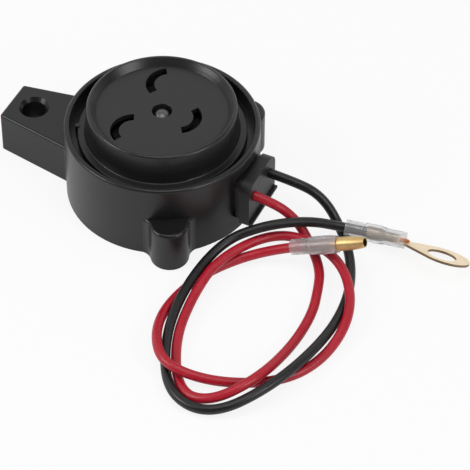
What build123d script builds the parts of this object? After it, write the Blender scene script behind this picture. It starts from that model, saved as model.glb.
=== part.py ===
from build123d import *
from math import cos, pi, radians, sin, sqrt, tan
import os

# Reversing alarm for 12 V vehicles: a round moulded case with one fixing ear, a struck-disc sounder with
# its own oscillator board inside, and two leads that lie on the surface beside it.
# Millimetres. +Z is up and the case lies on its flat back. The origin is on the case's axis at the back
# face, -X runs along the fixing ear and +X runs out through the cable grommet.

os.makedirs("parts", exist_ok=True)

# --- driving dimensions -----------------------------------------------------------------------------
CASE_RADIUS = 28.0
CASE_HEIGHT = 24.6
RIM_WALL = 1.7
RIM_ROUND = 0.8
RIM_INNER_ROUND = 0.4
GROOVE_FLOOR_Z = 19.8          # floor of the dark groove between the rim and the sound cover
LEDGE_Z = 21.1                 # shallower floor behind the grommet's flat, where the wall is thin
LEDGE_X = 25.5
CASE_BORE_RADIUS = 24.6        # lower chamber, where the circuit board sits
COVER_SEAT_RADIUS = 24.25      # pocket that centres the diaphragm and the sound cover
SHELF_Z = 16.8
SHELF_TOP_Z = 18.6
SHELF_BORE_RADIUS = 21.6
REAR_STEP_Z = 3.0              # step that the rear seal is squeezed against
REAR_BORE_RADIUS = 26.1

LUG_HEIGHT = 13.6              # fixing ear and side bosses
EAR_TIP = 49.3
EAR_TIP_WIDTH = 14.4
EAR_TAPER = 9.8                # degrees, each side
EAR_HOLE_DISTANCE = 41.8
EAR_HOLE_RADIUS = 3.5
EAR_LEAD_IN_RADIUS = 4.45
EAR_LEAD_IN_DEPTH = 1.1
BOSS_ANGLES = (-60, 60)
BOSS_DISTANCE = 29.15
BOSS_RADIUS = 5.5
BOSS_FLARE = 4.0               # concave radius between a boss and the wall
BOSS_TOP_ROUND = 0.9
EAR_FLARE = 1.6
EAR_TIP_CORNER = 0.8
EAR_TOP_ROUND = 0.75
FOOT_ROUND = 0.35              # lowest edge all round the case
FLARE_DIP = 0.1                # how far a flare runs into the wall, so that it blends and doesn't just touch

FLAT_X = 26.15                 # flat for the grommet
FLAT_HALF_WIDTH = 10.4
FLAT_TOP_Z = 20.6
FLAT_ARC_Z = 12.0

DRUM_RADIUS = 22.0             # sound cover
DRUM_TOP_RADIUS = 21.3
DRUM_TOP_Z = 31.25
DRUM_WALL = 1.6
FLANGE_RADIUS = 24.2
FLANGE_BOTTOM_Z = 19.7
FLANGE_TOP_Z = 21.9
DISC_TOP_Z = 29.2
CENTRE_HOLE_RADIUS = 2.85
NUB_RADIUS = 0.7
NUB_TOP_Z = 22.2
NUB_ANGLE = 202
SLOT_WIDTH = 2.5
SLOT_RADIUS = 5.45
# edges rounded in the mould: radius, height, rounding
COVER_ROUNDS = ((DRUM_TOP_RADIUS, DRUM_TOP_Z, 0.9), (20.3, DRUM_TOP_Z, 0.25), (FLANGE_RADIUS, FLANGE_TOP_Z, 0.3),
                (DRUM_RADIUS, FLANGE_TOP_Z, 0.4), (CENTRE_HOLE_RADIUS, DISC_TOP_Z, 0.2))
# each slot: centre of its arc, then the angles where it starts and ends
SLOTS = (((-3.1, 10.8), 123, 242), ((-3.5, -10.7), 116, 243), ((5.3, -0.3), -55, 61))

WIRE_RADIUS = 1.4
WIRE_GAP = 0.02                # all round a wire where it passes through a fitting
WIRE_EXIT_Z = 13.6
WIRE_EXIT_Y = 5.0
BOARD_TOP_Z = 12.2
BOARD_THICKNESS = 1.6
SCREW_CIRCLE = 21.5
SCREW_ANGLES = (90, 210, 330)
BOARD_SCREW_ANGLES = (30, 150, 270)


# --- small helpers ----------------------------------------------------------------------------------
def save(shape, name):
    """One STEP per piece. Several separate solids of one piece are kept as a group."""
    solids = shape.solids()
    shape = solids[0] if len(solids) == 1 else Compound(children=list(solids))
    shape.label = name
    export_step(shape, f"parts/{name}.step")
    return shape


def ring(outer, inner, bottom, top):
    """Upright tube between two heights."""
    body = Pos(0, 0, bottom) * Cylinder(outer, top - bottom, align=(Align.CENTER, Align.CENTER, Align.MIN))
    if inner:
        body -= Pos(0, 0, bottom) * Cylinder(inner, top - bottom, align=(Align.CENTER, Align.CENTER, Align.MIN))
    return body


def rod(radius, bottom, top, x=0.0, y=0.0):
    """Upright solid cylinder between two heights."""
    return Pos(x, y, bottom) * Cylinder(radius, top - bottom, align=(Align.CENTER, Align.CENTER, Align.MIN))


def block(x0, x1, y0, y1, z0, z1):
    """Box between two corners."""
    return Pos((x0 + x1) / 2, (y0 + y1) / 2, (z0 + z1) / 2) * Box(x1 - x0, y1 - y0, z1 - z0)


def turned(points, plane=Plane.XZ):
    """Solid of revolution of a closed outline given as (radius, height)."""
    return revolve(plane * make_face(Polyline(*points, close=True)), axis=Axis(plane.origin, plane.y_dir))


def around(angles, distance):
    """Places on a circle about the case's axis."""
    return [(distance * cos(radians(a)), distance * sin(radians(a))) for a in angles]


# --- housing ----------------------------------------------------------------------------------------
def mirrored_outline(side, tip):
    """Closed outline from its upper half, mirrored across X. side runs from inside the wall to the tip."""
    curves = [*side, *tip, *(mirror(curve, Plane.XZ) for curve in side)]
    return make_face([edge for curve in curves for edge in curve.edges()])


def flare_foot(centre, radius):
    """Where a flare's arc reaches its deepest point inside the wall, and a point further in."""
    distance = (centre.X ** 2 + centre.Y ** 2) ** 0.5
    outward = centre / distance
    return outward * (distance - radius), outward * (CASE_RADIUS - 2.5)


def flare_distance(radius):
    """Distance from the case's axis to the centre of a flare's arc."""
    return CASE_RADIUS + radius - FLARE_DIP


def boss_outline():
    """Round nose with a concave flare each side, drawn along +X."""
    reach = BOSS_RADIUS + BOSS_FLARE
    centre_distance = flare_distance(BOSS_FLARE)
    angle_cos = (centre_distance ** 2 + BOSS_DISTANCE ** 2 - reach ** 2) / (2 * centre_distance * BOSS_DISTANCE)
    centre = Vector(centre_distance * angle_cos, centre_distance * sqrt(1 - angle_cos ** 2))
    nose = Vector(BOSS_DISTANCE, 0)
    join = nose + (centre - nose) * (BOSS_RADIUS / reach)
    foot, inside = flare_foot(centre, BOSS_FLARE)
    middle = centre + ((foot + join) / 2 - centre).normalized() * BOSS_FLARE
    side = [Line(inside, foot), ThreePointArc(foot, middle, join)]
    lower_join, lower_inside = Vector(join.X, -join.Y), Vector(inside.X, -inside.Y)
    tip = [ThreePointArc(join, (BOSS_DISTANCE + BOSS_RADIUS, 0), lower_join), Line(lower_inside, inside)]
    return mirrored_outline(side, tip)


def ear_outline():
    """Tapered ear with small tip corners and a small flare at the wall, drawn along +X."""
    taper = radians(EAR_TAPER)
    along_side = Vector(-cos(taper), sin(taper))
    off_side = Vector(sin(taper), cos(taper))
    corner = Vector(EAR_TIP, EAR_TIP_WIDTH / 2)
    # centre of the root flare: a flare's radius off the side, and the flare distance from the axis
    start = corner + off_side * EAR_FLARE
    reach = flare_distance(EAR_FLARE)
    half = start.dot(along_side)
    travel = -half - sqrt(half ** 2 - start.dot(start) + reach ** 2)
    centre = start + along_side * travel
    root = centre - off_side * EAR_FLARE
    foot, inside = flare_foot(centre, EAR_FLARE)
    middle = centre + ((foot + root) / 2 - centre).normalized() * EAR_FLARE
    trim = EAR_TIP_CORNER * tan((pi / 2 - taper) / 2)
    corner_side, corner_tip = corner + along_side * trim, corner - Vector(0, trim)
    corner_centre = corner_side - off_side * EAR_TIP_CORNER
    corner_middle = corner_centre + (corner - corner_centre).normalized() * EAR_TIP_CORNER
    side = [Line(inside, foot), ThreePointArc(foot, middle, root), Line(root, corner_side),
            ThreePointArc(corner_side, corner_middle, corner_tip)]
    lower_tip, lower_inside = Vector(corner_tip.X, -corner_tip.Y), Vector(inside.X, -inside.Y)
    return mirrored_outline(side, [Line(corner_tip, lower_tip), Line(lower_inside, inside)])


def lug(outline, top_round, angle):
    """One ear or boss with rounded top and bottom edges, ready to be joined to the round wall."""
    body = extrude(outline, LUG_HEIGHT)

    def outer_edges(height):
        level = body.edges().filter_by(Plane.XY).filter_by_position(Axis.Z, height - 0.01, height + 0.01)
        return [e for e in level if max(abs(e @ 0), abs(e @ 1)) > CASE_RADIUS - 1]

    body = fillet(outer_edges(LUG_HEIGHT), top_round)
    body = fillet(outer_edges(0), FOOT_ROUND)
    return Rot(0, 0, angle) * body


def grommet_flat():
    """What is cut from the round wall to leave the flat: straight sides and a half-round bottom."""
    start = Plane((FLAT_X, 0, 0), x_dir=(0, 1, 0), z_dir=(1, 0, 0))
    shape = Pos(0, (FLAT_ARC_Z + FLAT_TOP_Z) / 2) * Rectangle(2 * FLAT_HALF_WIDTH, FLAT_TOP_Z - FLAT_ARC_Z)
    below_arc = Pos(0, FLAT_ARC_Z - FLAT_HALF_WIDTH) * Rectangle(2 * FLAT_HALF_WIDTH, 2 * FLAT_HALF_WIDTH)
    shape += (Pos(0, FLAT_ARC_Z) * Circle(FLAT_HALF_WIDTH)) & below_arc
    return extrude(start * shape, 5)


def board_lug(angle):
    """Short lug under the shelf that takes one circuit board screw."""
    lug = block(19.4, CASE_BORE_RADIUS + 0.5, -3, 3, BOARD_TOP_Z, SHELF_Z)
    return Rot(0, 0, angle) * lug


def housing():
    body = rod(CASE_RADIUS, 0, CASE_HEIGHT)
    body = fillet(body.edges().filter_by(GeomType.CIRCLE).group_by(Axis.Z)[-1], RIM_ROUND)
    body = fillet(body.edges().filter_by(GeomType.CIRCLE).group_by(Axis.Z)[0], FOOT_ROUND)
    body += lug(ear_outline(), EAR_TOP_ROUND, 180)
    for angle in BOSS_ANGLES:
        body += lug(boss_outline(), BOSS_TOP_ROUND, angle)
    groove = rod(CASE_RADIUS - RIM_WALL, GROOVE_FLOOR_Z, CASE_HEIGHT)
    body -= groove - block(LEDGE_X, CASE_RADIUS, -FLAT_HALF_WIDTH, FLAT_HALF_WIDTH, GROOVE_FLOOR_Z, LEDGE_Z)
    body = fillet(body.edges().filter_by(GeomType.CIRCLE).group_by(Axis.Z)[-1], RIM_INNER_ROUND)
    body -= rod(COVER_SEAT_RADIUS, SHELF_TOP_Z, GROOVE_FLOOR_Z)
    body -= rod(SHELF_BORE_RADIUS, SHELF_Z, SHELF_TOP_Z)
    body -= rod(CASE_BORE_RADIUS, REAR_STEP_Z, SHELF_Z)
    body -= rod(REAR_BORE_RADIUS, 0, REAR_STEP_Z)
    for x, y in around(SCREW_ANGLES, SCREW_CIRCLE):
        body += rod(3.3, REAR_COVER_TOP_Z, SHELF_Z, x, y)
        body -= rod(COVER_SCREW_RADIUS, REAR_COVER_TOP_Z, 13.0, x, y)
    for angle in BOARD_SCREW_ANGLES:
        body += board_lug(angle)
    for x, y in around(BOARD_SCREW_ANGLES, BOARD_SCREW_CIRCLE):
        body -= rod(BOARD_SCREW_RADIUS, BOARD_TOP_Z, 15.8, x, y)
    body -= grommet_flat()
    body -= block(20.5, CASE_RADIUS + 1, -NECK_HALF_WIDTH, NECK_HALF_WIDTH, NECK_BOTTOM_Z, NECK_TOP_Z)
    hole = rod(EAR_HOLE_RADIUS, 0, LUG_HEIGHT, -EAR_HOLE_DISTANCE)
    hole += Pos(-EAR_HOLE_DISTANCE, 0, LUG_HEIGHT - EAR_LEAD_IN_DEPTH) * Cone(
        EAR_HOLE_RADIUS, EAR_LEAD_IN_RADIUS, EAR_LEAD_IN_DEPTH, align=(Align.CENTER, Align.CENTER, Align.MIN))
    return body - hole


# --- rear cover, its seal and screws ----------------------------------------------------------------
REAR_COVER_RADIUS = 26.0
REAR_COVER_TOP_Z = 2.4
PEDESTAL_RADIUS = 10.5
PEDESTAL_TOP_Z = 4.0
COVER_SCREW_RADIUS = 1.3
COVER_SCREW_HEAD = 2.6
COVER_SCREW_LENGTH = 12.0


def countersunk_screw(radius, head_radius, length, x, y):
    """Flush countersunk screw, head down, with a cross recess."""
    cone = head_radius - radius
    body = turned([(0, 0), (head_radius, 0), (radius, cone), (radius, length), (0, length)])
    for turn in (0, 90):
        body -= Rot(0, 0, turn) * block(-head_radius * 0.6, head_radius * 0.6, -0.3, 0.3, 0, cone * 0.8)
    return Pos(x, y, 0) * body


def rear_cover():
    """Round moulded back with the pedestal that carries the magnet."""
    body = rod(REAR_COVER_RADIUS, 0, REAR_COVER_TOP_Z) + rod(PEDESTAL_RADIUS, REAR_COVER_TOP_Z, PEDESTAL_TOP_Z)
    body -= rod(CORE_STEM_RADIUS, CORE_STEM_BOTTOM_Z, PEDESTAL_TOP_Z)
    for x, y in around(SCREW_ANGLES, SCREW_CIRCLE):
        hole = turned([(0, 0), (COVER_SCREW_HEAD, 0), (COVER_SCREW_RADIUS, COVER_SCREW_HEAD - COVER_SCREW_RADIUS),
                       (COVER_SCREW_RADIUS, REAR_COVER_TOP_Z), (0, REAR_COVER_TOP_Z)])
        body -= Pos(x, y, 0) * hole
    return body


def rear_cover_screws():
    return Compound(children=[
        countersunk_screw(COVER_SCREW_RADIUS, COVER_SCREW_HEAD, COVER_SCREW_LENGTH, x, y)
        for x, y in around(SCREW_ANGLES, SCREW_CIRCLE)])


def rear_seal():
    return ring(REAR_BORE_RADIUS, CASE_BORE_RADIUS + 0.3, REAR_COVER_TOP_Z, REAR_STEP_Z)


# --- electromagnet ----------------------------------------------------------------------------------
CORE_RADIUS = 3.0
CORE_STEM_RADIUS = 1.6
CORE_STEM_BOTTOM_Z = 1.4
YOKE_RADIUS = 10.5
YOKE_WALL = 1.2
YOKE_BASE_TOP_Z = 5.5
YOKE_TOP_Z = 15.6
BOBBIN_RADIUS = 9.0
BOBBIN_TOP_Z = 15.2
WINDING_RADIUS = 8.8
LEAD_RADIUS = 0.25
LEAD_Y = 1.2


def magnet_yoke():
    """Deep-drawn steel cup with a notch that the winding's ends leave by."""
    body = rod(YOKE_RADIUS, PEDESTAL_TOP_Z, YOKE_TOP_Z)
    body -= rod(YOKE_RADIUS - YOKE_WALL, YOKE_BASE_TOP_Z, YOKE_TOP_Z)
    body -= rod(CORE_STEM_RADIUS, PEDESTAL_TOP_Z, YOKE_BASE_TOP_Z)
    return body - block(-YOKE_RADIUS - 1, -YOKE_RADIUS + 3, -2, 2, BOARD_TOP_Z - 1, YOKE_TOP_Z)


def pole_core():
    """Soft-iron core with a knurled stem pressed through the yoke into the rear cover."""
    return rod(CORE_RADIUS, YOKE_BASE_TOP_Z, 16.0) + rod(CORE_STEM_RADIUS, CORE_STEM_BOTTOM_Z, YOKE_BASE_TOP_Z)


def coil_bobbin():
    body = ring(BOBBIN_RADIUS, CORE_RADIUS + 0.05, YOKE_BASE_TOP_Z, BOBBIN_TOP_Z)
    return body - ring(BOBBIN_RADIUS, CORE_RADIUS + 1.4, YOKE_BASE_TOP_Z + 1, BOBBIN_TOP_Z - 1)


def coil_winding():
    return ring(WINDING_RADIUS, CORE_RADIUS + 1.4, YOKE_BASE_TOP_Z + 1, BOBBIN_TOP_Z - 1)


def coil_leads():
    """The winding's two ends, laid from the coil over the board to their solder pads."""
    leads = []
    for side in (-1, 1):
        y = side * LEAD_Y
        start = -sqrt(WINDING_RADIUS ** 2 - (LEAD_Y + LEAD_RADIUS) ** 2) - 0.15
        wire = Pos(start, y, BOARD_TOP_Z + LEAD_RADIUS) * Rot(0, -90, 0) * Cylinder(
            LEAD_RADIUS, 5.0, align=(Align.CENTER, Align.CENTER, Align.MIN))
        leads.append(wire)
    return Compound(children=leads)


# --- circuit board ----------------------------------------------------------------------------------
BOARD_RADIUS = 23.6
BOARD_BORE_RADIUS = 11.5
BOARD_SCREW_CIRCLE = 21.6
BOARD_SCREW_RADIUS = 1.0
BOARD_UNDER_Z = BOARD_TOP_Z - BOARD_THICKNESS


def circuit_board():
    """Ring-shaped board, cut away round the screw posts and behind the grommet."""
    body = ring(BOARD_RADIUS, BOARD_BORE_RADIUS, BOARD_UNDER_Z, BOARD_TOP_Z)
    for x, y in around(SCREW_ANGLES, SCREW_CIRCLE):
        body -= rod(3.7, BOARD_UNDER_Z, BOARD_TOP_Z, x, y)
        body -= rod(3.7, BOARD_UNDER_Z, BOARD_TOP_Z, x * 1.15, y * 1.15)
    for x, y in around(BOARD_SCREW_ANGLES, BOARD_SCREW_CIRCLE):
        body -= rod(BOARD_SCREW_RADIUS, BOARD_UNDER_Z, BOARD_TOP_Z, x, y)
    return body - block(LIP_X - 0.3, BOARD_RADIUS, -9, 9, BOARD_UNDER_Z, BOARD_TOP_Z)


def board_screws():
    screws = []
    for x, y in around(BOARD_SCREW_ANGLES, BOARD_SCREW_CIRCLE):
        screw = rod(1.9, BOARD_UNDER_Z - 1.3, BOARD_UNDER_Z, x, y)
        screw += rod(BOARD_SCREW_RADIUS, BOARD_UNDER_Z, 15.2, x, y)
        slot = Pos(x, y, BOARD_UNDER_Z - 1.3) * Box(3.8, 0.5, 0.9, align=(Align.CENTER, Align.CENTER, Align.MIN))
        screws.append(screw - slot)
    return Compound(children=screws)


def under_board(angle, distance, length, width, height):
    """Small part soldered flat against the board's underside."""
    part = Box(length, width, height, align=(Align.CENTER, Align.CENTER, Align.MAX))
    return Rot(0, 0, angle) * Pos(distance, 0, BOARD_UNDER_Z) * part


def oscillator_chip():
    """Eight-leg chip: flat body with four short legs each side."""
    body = Pos(0, 0, BOARD_UNDER_Z - 0.2) * Box(3.9, 4.9, 1.6, align=(Align.CENTER, Align.CENTER, Align.MAX))
    for side in (-1, 1):
        for row in range(4):
            leg = Pos(side * 2.5, (row - 1.5) * 1.27, BOARD_UNDER_Z)
            body += leg * Box(1.2, 0.4, 0.4, align=(Align.CENTER, Align.CENTER, Align.MAX))
    return Rot(0, 0, 180) * Pos(17.0, 0, 0) * body


def power_transistor():
    """Flat power package with its tab."""
    body = Box(6.2, 6.0, 2.3, align=(Align.CENTER, Align.CENTER, Align.MAX))
    body += Pos(-3.9, 0, 0) * Box(1.6, 5.2, 0.6, align=(Align.CENTER, Align.CENTER, Align.MAX))
    return Rot(0, 0, 60) * Pos(17.2, 0, BOARD_UNDER_Z) * body


def filter_capacitor():
    """Small can capacitor standing on the board's underside."""
    can = Cylinder(3.15, 5.8, align=(Align.CENTER, Align.CENTER, Align.MAX))
    can = chamfer(can.edges().group_by(Axis.Z)[0], 0.4)
    return Rot(0, 0, 300) * Pos(17.3, 0, BOARD_UNDER_Z) * can


def protection_diode():
    return under_board(120, 17.5, 2.6, 4.4, 2.1)


def resistors():
    return Compound(children=[under_board(angle, 15.5, 1.6, 3.2, 0.6) for angle in (85, 97, 230, 242, 330, 342)])


# --- diaphragm and tone disc ------------------------------------------------------------------------
SHAFT_RADIUS = 2.0
SHAFT_TOP_Z = 27.0
DIAPHRAGM_Z = 19.4
TONE_DISC_Z = 24.6
TONE_DISC_TOP_Z = 25.2
DOME_RADIUS = 2.6
DOME_TOP_Z = 28.9
DOME_CURVE = 3.2               # radius of the dome's surface


def diaphragm_gasket():
    return ring(FLANGE_RADIUS, SHELF_BORE_RADIUS, SHELF_TOP_Z, DIAPHRAGM_Z)


def diaphragm():
    return ring(FLANGE_RADIUS, SHAFT_RADIUS, DIAPHRAGM_Z, FLANGE_BOTTOM_Z)


def armature():
    """Steel disc that the coil pulls, with its collar and the shaft that carries the tone disc."""
    return turned([(0, 16.9), (8.0, 16.9), (8.0, 18.4), (4.0, 18.4), (4.0, DIAPHRAGM_Z),
                   (SHAFT_RADIUS, DIAPHRAGM_Z), (SHAFT_RADIUS, SHAFT_TOP_Z), (0, SHAFT_TOP_Z)])


def shaft_spacer():
    return ring(3.2, SHAFT_RADIUS, FLANGE_BOTTOM_Z, TONE_DISC_Z)


def tone_disc():
    return ring(15.0, SHAFT_RADIUS, TONE_DISC_Z, TONE_DISC_TOP_Z)


def dome_nut():
    """Closed nut with a domed head that shows in the cover's centre hole."""
    body = rod(DOME_RADIUS, TONE_DISC_TOP_Z, DOME_TOP_Z) & Pos(0, 0, DOME_TOP_Z - DOME_CURVE) * Sphere(DOME_CURVE)
    return body - rod(SHAFT_RADIUS, TONE_DISC_TOP_Z, SHAFT_TOP_Z)


# --- sound cover ------------------------------------------------------------------------------------
def arc_slot(centre, start, end):
    """Curved sound slot with square-cut ends."""
    inner, outer = SLOT_RADIUS - SLOT_WIDTH / 2, SLOT_RADIUS + SLOT_WIDTH / 2
    band = Circle(outer) - Circle(inner)
    reach = 3 * outer
    wedge = [(0, 0)]
    steps = 4
    for step in range(steps + 1):
        angle = radians(start + (end - start) * step / steps)
        wedge.append((reach * cos(angle), reach * sin(angle)))
    shape = band & make_face(Polyline(*wedge, close=True))
    return Pos(centre[0], centre[1], DISC_TOP_Z - DRUM_WALL - 0.5) * extrude(shape, DRUM_WALL + 1)


def sound_cover():
    """Raised drum with a sunk disc, three curved slots, a centre hole and a flange that sits in the case."""
    disc_under_z = DISC_TOP_Z - DRUM_WALL
    body = turned([
        (CENTRE_HOLE_RADIUS, disc_under_z), (17.4, disc_under_z), (18.9, 28.6), (19.9, 29.5),
        (DRUM_RADIUS - DRUM_WALL, FLANGE_BOTTOM_Z), (FLANGE_RADIUS, FLANGE_BOTTOM_Z),
        (FLANGE_RADIUS, FLANGE_TOP_Z), (DRUM_RADIUS, FLANGE_TOP_Z), (DRUM_TOP_RADIUS, DRUM_TOP_Z),
        (20.3, DRUM_TOP_Z), (19.3, 30.1), (18.6, DISC_TOP_Z), (CENTRE_HOLE_RADIUS, DISC_TOP_Z)])
    for radius, level, round_by in COVER_ROUNDS:
        edge = [e for e in body.edges().filter_by(GeomType.CIRCLE)
                if abs(e.radius - radius) < 0.01 and abs(e.center().Z - level) < 0.01]
        body = fillet(edge, round_by)
    for slot in SLOTS:
        body -= arc_slot(*slot)
    nub_x, nub_y = around((NUB_ANGLE,), FLANGE_RADIUS)[0]
    return body + rod(NUB_RADIUS, GROOVE_FLOOR_Z, NUB_TOP_Z, nub_x, nub_y)


# --- cable grommet ----------------------------------------------------------------------------------
LIP_X = 21.9                   # inner lip, behind the wall
NECK_X = 23.2
PAD_X = 28.3
GROMMET_FACE_X = 31.4
NECK_HALF_WIDTH = 6.8
NECK_BOTTOM_Z = 6.5
NECK_TOP_Z = 16.2
FLANGE_HALF_WIDTH = 8.8
FLANGE_FOOT_Z = 4.7
FOOT_REACH = 0.9               # narrow foot along the flange's lower edge
FOOT_HEIGHT = 0.8


def grommet_layer(x0, x1, half_width, z0, z1, corner):
    """One rectangular layer of the grommet with rounded top corners."""
    layer = block(x0, x1, -half_width, half_width, z0, z1)
    if corner:
        top_corners = layer.edges().filter_by(Axis.X).group_by(Axis.Z)[-1]
        layer = fillet(top_corners, corner)
    return layer


def wire_bore(side):
    """Hole for one wire along X."""
    length = GROMMET_FACE_X - LIP_X + 2
    bore = Cylinder(WIRE_RADIUS + WIRE_GAP, length, align=(Align.CENTER, Align.CENTER, Align.MIN))
    return Pos(LIP_X - 1, side * WIRE_EXIT_Y, WIRE_EXIT_Z) * Rot(0, 90, 0) * bore


def cable_grommet():
    """Rubber moulding snapped into the wall: lip, neck, pad against the flat, outer flange and its foot."""
    body = grommet_layer(LIP_X, NECK_X, 7.5, 5.6, SHELF_Z, 0)
    body += grommet_layer(NECK_X, FLAT_X, NECK_HALF_WIDTH, NECK_BOTTOM_Z, NECK_TOP_Z, 0)
    body += grommet_layer(FLAT_X, PAD_X, 7.8, 5.3, 18.3, 3.0)
    body += grommet_layer(PAD_X, GROMMET_FACE_X, FLANGE_HALF_WIDTH, FLANGE_FOOT_Z, 18.8, 4.0)
    foot_x = GROMMET_FACE_X + FOOT_REACH
    body += block(PAD_X, foot_x, -FLANGE_HALF_WIDTH, FLANGE_HALF_WIDTH, FLANGE_FOOT_Z, FLANGE_FOOT_Z + FOOT_HEIGHT)
    for side in (-1, 1):
        body -= wire_bore(side)
    return body


# --- leads ------------------------------------------------------------------------------------------
RING_WIRE_END = (67.3, 3.2, 5.7)
RING_HEADING, RING_PITCH = 4.6, -5.2       # degrees, of the flat ring
BARREL_HEADING, BARREL_PITCH = 9.1, -0.7   # of its crimp barrel and the sleeve over it
BULLET_START = (45.7, -12.6, 6.0)
BULLET_HEADING, BULLET_PITCH = 5.9, 23.7
BULLET_WIRE_INSIDE = 7.0                   # wire that the bullet's sleeve covers
RING_LAST_RUN = 10.5
BULLET_LAST_RUN = 13.0
ARC_SHARE = 0.45                           # part of the shorter run that an arc takes


def pointing(heading, pitch):
    """Unit vector from its bearing about Z and its rise."""
    level = cos(radians(pitch))
    return Vector(level * cos(radians(heading)), level * sin(radians(heading)), sin(radians(pitch)))


RING_DIRECTION = pointing(RING_HEADING, RING_PITCH)
BARREL_DIRECTION = pointing(BARREL_HEADING, BARREL_PITCH)
BULLET_DIRECTION = pointing(BULLET_HEADING, BULLET_PITCH)
BULLET_WIRE_END = Vector(*BULLET_START) + BULLET_DIRECTION * BULLET_WIRE_INSIDE

BLACK_ROUTE = [
    (22.5, 5, 13.6), (40, 5, 13.6), (47.8, 6.4, 9.3), (54.6, 4.1, 1.7), (62.4, -6.4, 1.4), (67.2, -19.8, 1.4),
    (68.1, -37.4, 3.3), (63, -60, 5.1), (51.5, -75, 2.4), (37.5, -73, 2), (28, -56, 2.2), (25, -37.5, 3.9),
    (27.7, -18.5, 5.8), (36.9, -10.8, 9.1), (47, -2.7, 8.2),
    Vector(*RING_WIRE_END) - BARREL_DIRECTION * RING_LAST_RUN, RING_WIRE_END]
RED_ROUTE = [
    (22.5, -5, 13.6), (36.4, -5, 13.6), (43.3, -2, 6.2), (49.6, -5.5, 1.4), (55.5, -12.9, 1.4),
    (57.9, -19.6, 1.4), (60.7, -30, 2.2), (60.2, -42.9, 1.4), (58.7, -61.5, 7.1), (49.5, -71.5, 3.4),
    (39.5, -70.5, 1.4), (30.5, -54.5, 1.4), (28.2, -38.8, 2.9), (29.4, -24.8, 5.5), (38.3, -8, 4.3),
    (51, -6.6, 5.2), (63, -12.2, 5), (71, -26, 4.1), (70.5, -41.5, 1.4), (63.5, -55, 1.4), (48, -64.5, 2.9),
    (33.5, -67, 5.7), (25.5, -57, 4.2), (22.5, -43, 1.6), (27, -26.5, 1.4),
    BULLET_WIRE_END - BULLET_DIRECTION * BULLET_LAST_RUN, BULLET_WIRE_END]
CONDUCTOR_RADIUS = 0.9
CONDUCTOR_BARED = 4.0


def corner_radii(points):
    """The largest radius that each corner of a route has room for."""
    places = [Vector(*p) for p in points]
    radii = []
    for before, here, after in zip(places, places[1:], places[2:]):
        half_turn = radians((here - before).get_angle(after - here)) / 2
        radii.append(ARC_SHARE * min((here - before).length, (after - here).length) / tan(half_turn))
    return radii


def route_path(points):
    return FilletPolyline(*points, radius=corner_radii(points))


def along(origin, direction, shape):
    """Stands a shape made about +Z on a place, pointing along a direction."""
    return Plane(origin=Vector(*origin), z_dir=direction).location * shape


def lead(points, direction):
    """Insulated wire with the short bared end that its terminal is crimped on."""
    path = route_path(points)
    tube = sweep(Plane(origin=path @ 0, z_dir=path % 0) * Circle(WIRE_RADIUS), path)
    expected = pi * WIRE_RADIUS ** 2 * path.length
    print(f"lead {path.length:.1f} mm, volume {tube.volume / expected:.4f} of section x length,",
          f"lowest {tube.bounding_box().min.Z:.2f},",
          "radii " + " ".join(f"{radius:.1f}" for radius in corner_radii(points)))
    return tube + along(points[-1], direction, rod(CONDUCTOR_RADIUS, 0, CONDUCTOR_BARED))


def black_wire():
    return lead(BLACK_ROUTE, BARREL_DIRECTION)


def red_wire():
    return lead(RED_ROUTE, BULLET_DIRECTION)


# --- bullet terminal --------------------------------------------------------------------------------
CRIMP_RADIUS = 1.9             # barrel pressed on the insulation
CRIMP_BORE_RADIUS = WIRE_RADIUS + WIRE_GAP
SLEEVE_BORE_RADIUS = CRIMP_RADIUS + WIRE_GAP
BULLET_RADIUS = 1.95
BULLET_LENGTH = 16.9           # from the end of the insulation to the tip
BULLET_CRIMP = 2.2             # insulation that the barrel grips
BULLET_SLEEVE_START, BULLET_SLEEVE_END = 1.1, 15.5


def bullet_terminal():
    """Brass pin: crimp barrel, shoulder, a ring groove and a tapered open tip."""
    tip = BULLET_LENGTH
    body = turned([
        (0, CONDUCTOR_BARED), (CONDUCTOR_RADIUS, CONDUCTOR_BARED), (CONDUCTOR_RADIUS, 0), (CRIMP_BORE_RADIUS, 0),
        (CRIMP_BORE_RADIUS, -BULLET_CRIMP), (CRIMP_RADIUS, -BULLET_CRIMP), (CRIMP_RADIUS, 0.4), (1.55, 0.9),
        (1.55, 3.6), (BULLET_RADIUS, 4.2), (BULLET_RADIUS, 8.4), (1.7, 8.5), (1.7, 8.8), (BULLET_RADIUS, 9.0),
        (BULLET_RADIUS, tip - 5.0), (1.9, tip - 3.6), (1.77, tip - 2.4), (1.61, tip - 1.2), (1.45, tip - 0.25),
        (1.32, tip), (1.1, tip), (1.1, tip - 3.0), (0, tip - 3.0)])
    return along(BULLET_WIRE_END, BULLET_DIRECTION, body)


def bullet_sleeve():
    """Soft thin sleeve: a narrow part over the wire, a step, and a fuller part over the crimp."""
    pin_bore_radius = BULLET_RADIUS + WIRE_GAP
    body = turned([
        (1.9, BULLET_SLEEVE_START), (2.2, BULLET_SLEEVE_START), (2.32, 6.5), (2.5, 6.9), (2.65, 9.8),
        (2.6, 14.0), (2.35, BULLET_SLEEVE_END), (pin_bore_radius, BULLET_SLEEVE_END),
        (pin_bore_radius, 11.5), (2.2, 11.0), (2.2, 7.8),
        (SLEEVE_BORE_RADIUS, 7.5), (SLEEVE_BORE_RADIUS, 4.7), (1.9, 4.4)])
    return along(BULLET_START, BULLET_DIRECTION, body)


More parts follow.
